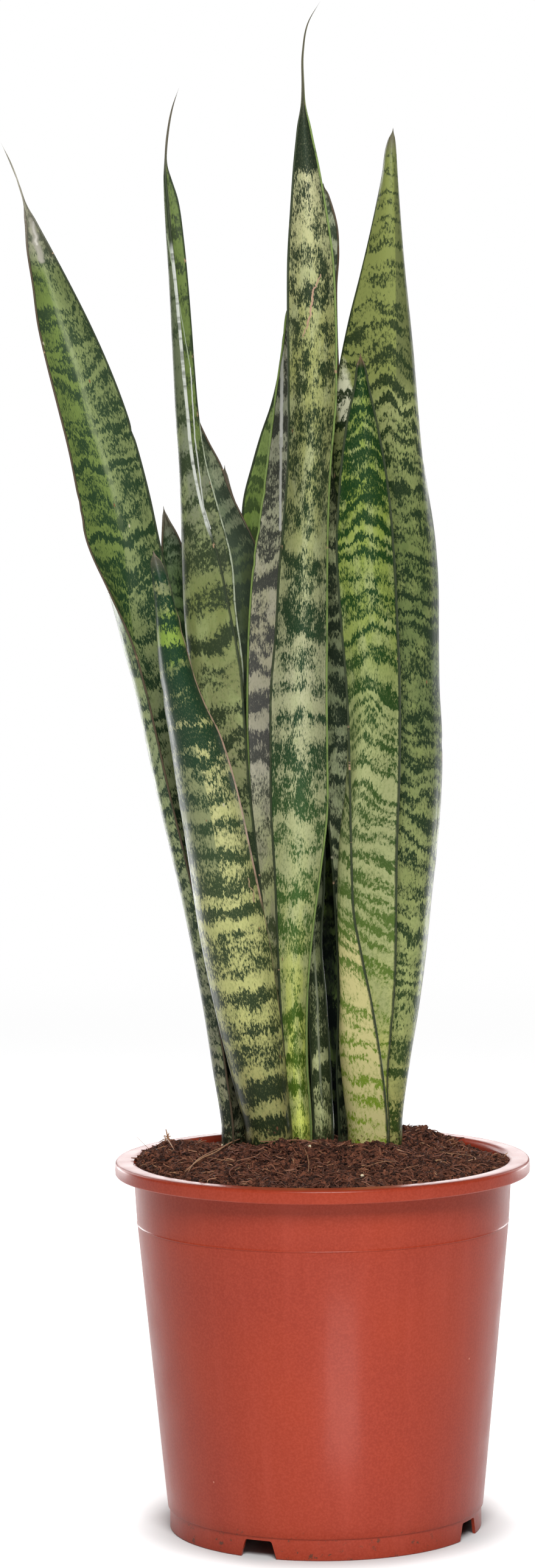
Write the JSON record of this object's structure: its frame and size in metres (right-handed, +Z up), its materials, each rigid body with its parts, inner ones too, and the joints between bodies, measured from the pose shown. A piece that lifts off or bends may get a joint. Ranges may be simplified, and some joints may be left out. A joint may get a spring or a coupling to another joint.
{
  "type": "potted snake plant",
  "caption": "Upright snake plant with stiff, cross-banded sword leaves in a tapered plastic nursery pot filled with potting soil.",
  "frame": {"origin": "the pot's axis at the surface that it stands on", "axes": "+Z up along the pot's axis; -Y is the front, as the plant is usually seen; +X to the right of that view"},
  "size_m": [0.2658, 0.21, 0.772],
  "materials": {
    "pot_plastic": "moulded terracotta-red plastic with a satin sheen",
    "potting_soil": "loose moist potting soil with fibres and bark",
    "leaf_mottled": "waxy green leaf with dark ragged cross-bands",
    "leaf_dark": "waxy dark green leaf with fine cross-bands",
    "leaf_bright": "waxy bright green leaf with dark cross-bands",
    "leaf_pale": "waxy grey-beige marbled leaf"
  },
  "bodies": {
    "root": {"pot": "pot_plastic", "potting_soil": "potting_soil", "leaf_far_left": "leaf_mottled", "leaf_front_left": "leaf_mottled", "leaf_tall_left": "leaf_mottled", "leaf_behind_left": "leaf_dark", "leaf_small_behind": "leaf_dark", "leaf_small_left": "leaf_dark", "leaf_bright_behind": "leaf_bright", "leaf_pale_centre": "leaf_pale", "leaf_tall_centre": "leaf_mottled", "leaf_dark_centre": "leaf_dark", "leaf_striped_front": "leaf_bright", "leaf_tall_right": "leaf_mottled", "leaf_young_centre": "leaf_dark"}
  },
  "joints": []
}
